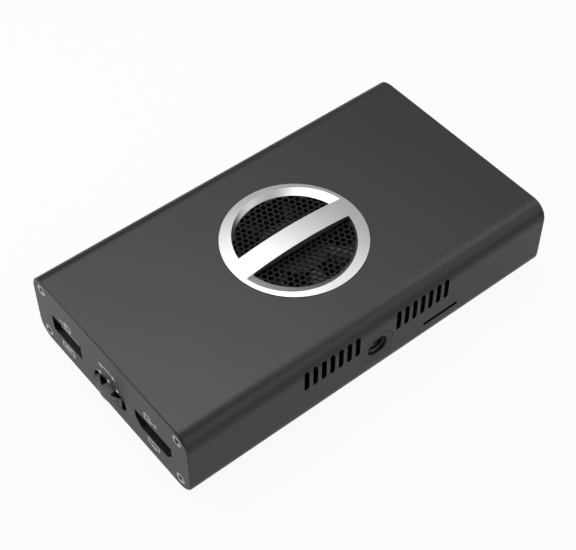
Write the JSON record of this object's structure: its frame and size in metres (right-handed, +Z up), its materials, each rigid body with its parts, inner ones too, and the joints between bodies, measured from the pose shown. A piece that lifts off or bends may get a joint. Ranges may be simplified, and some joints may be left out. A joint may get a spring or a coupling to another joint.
{
  "type": "network video decoder",
  "caption": "Palm-sized network video decoder: metal box with front sockets, a rocking lever switch, side vents, a tripod thread and a fan under a round honeycomb grille.",
  "frame": {"origin": "middle of the flat underside", "axes": "+Z up, X along the length, front panel with the lever facing -X, side with the tripod thread facing -Y"},
  "size_m": [0.1198, 0.0666, 0.025],
  "materials": {
    "anodised_grey": "satin dark grey",
    "trim_silver": "satin silver",
    "screw_steel": "bright",
    "mesh_black": "matt",
    "bush_metal": "dark plated",
    "board_mask": "solder mask",
    "socket_metal": "plated",
    "socket_plastic": "moulded",
    "contact_gold": "plated",
    "clear_plastic": "clear",
    "lever_plastic": "moulded",
    "fan_plastic": "moulded",
    "steel": "ground",
    "magnet": "bonded",
    "copper": "enamelled",
    "foam": "foam",
    "sink_alloy": "extruded",
    "chip_black": "moulded",
    "pad_grey": "soft",
    "can_metal": "bright",
    "wire_sleeve": "sleeve",
    "white_plastic": "moulded"
  },
  "bodies": {
    "housing": {"housing_sleeve": "anodised_grey", "front_panel": "anodised_grey", "rear_panel": "anodised_grey", "front_panel_screws": "screw_steel", "rear_panel_screws": "screw_steel", "trim_ring": "trim_silver", "grille_mesh": "mesh_black", "tripod_bush": "bush_metal", "main_board": "board_mask", "host_socket_shell": "socket_metal", "host_socket_tongue": "socket_plastic", "host_socket_contacts": "contact_gold", "video_socket_shell": "socket_metal", "video_socket_tongue": "socket_plastic", "network_socket_body": "socket_metal", "network_socket_lights": "clear_plastic", "network_socket_contacts": "contact_gold", "power_socket_shell": "socket_metal", "power_socket_tongue": "socket_plastic", "card_socket": "socket_metal", "light_pipes": "clear_plastic", "light_sources": "white_plastic", "switch_case": "socket_plastic", "fan_frame": "fan_plastic", "fan_screws": "screw_steel", "fan_bearing": "steel", "fan_coils": "copper", "fan_gasket": "foam", "heat_sink": "sink_alloy", "sink_pins": "socket_plastic", "processor": "chip_black", "thermal_pad": "pad_grey", "memory_chips": "chip_black", "network_transformer": "chip_black", "power_coils": "chip_black", "power_capacitors": "can_metal", "board_crystal": "can_metal", "fan_lead": "wire_sleeve", "fan_plug": "white_plastic", "fan_header": "white_plastic"},
    "rotor": {"fan_rotor": "fan_plastic", "fan_shaft": "steel", "fan_magnet": "magnet"},
    "carriage": {"switch_carriage": "socket_plastic"},
    "lever": {"switch_lever": "lever_plastic"}
  },
  "joints": [
    {"name": "fan_spin", "type": "hinge", "parent": "housing", "child": "rotor", "pos_m": [0, 0, 0.0176], "axis": [0, 0, 1], "continuous": true},
    {"name": "lever_press", "type": "slide", "parent": "housing", "child": "carriage", "axis": [1, 0, 0], "range_m": [0, 0.0005], "stiffness_N_per_m": 600},
    {"name": "lever_rock", "type": "hinge", "parent": "carriage", "child": "lever", "pos_m": [-0.0525, 0.0003, 0.00825], "axis": [0, 0, 1], "range_deg": [-12, 12], "stiffness_Nm_per_rad": 0.02}
  ]
}
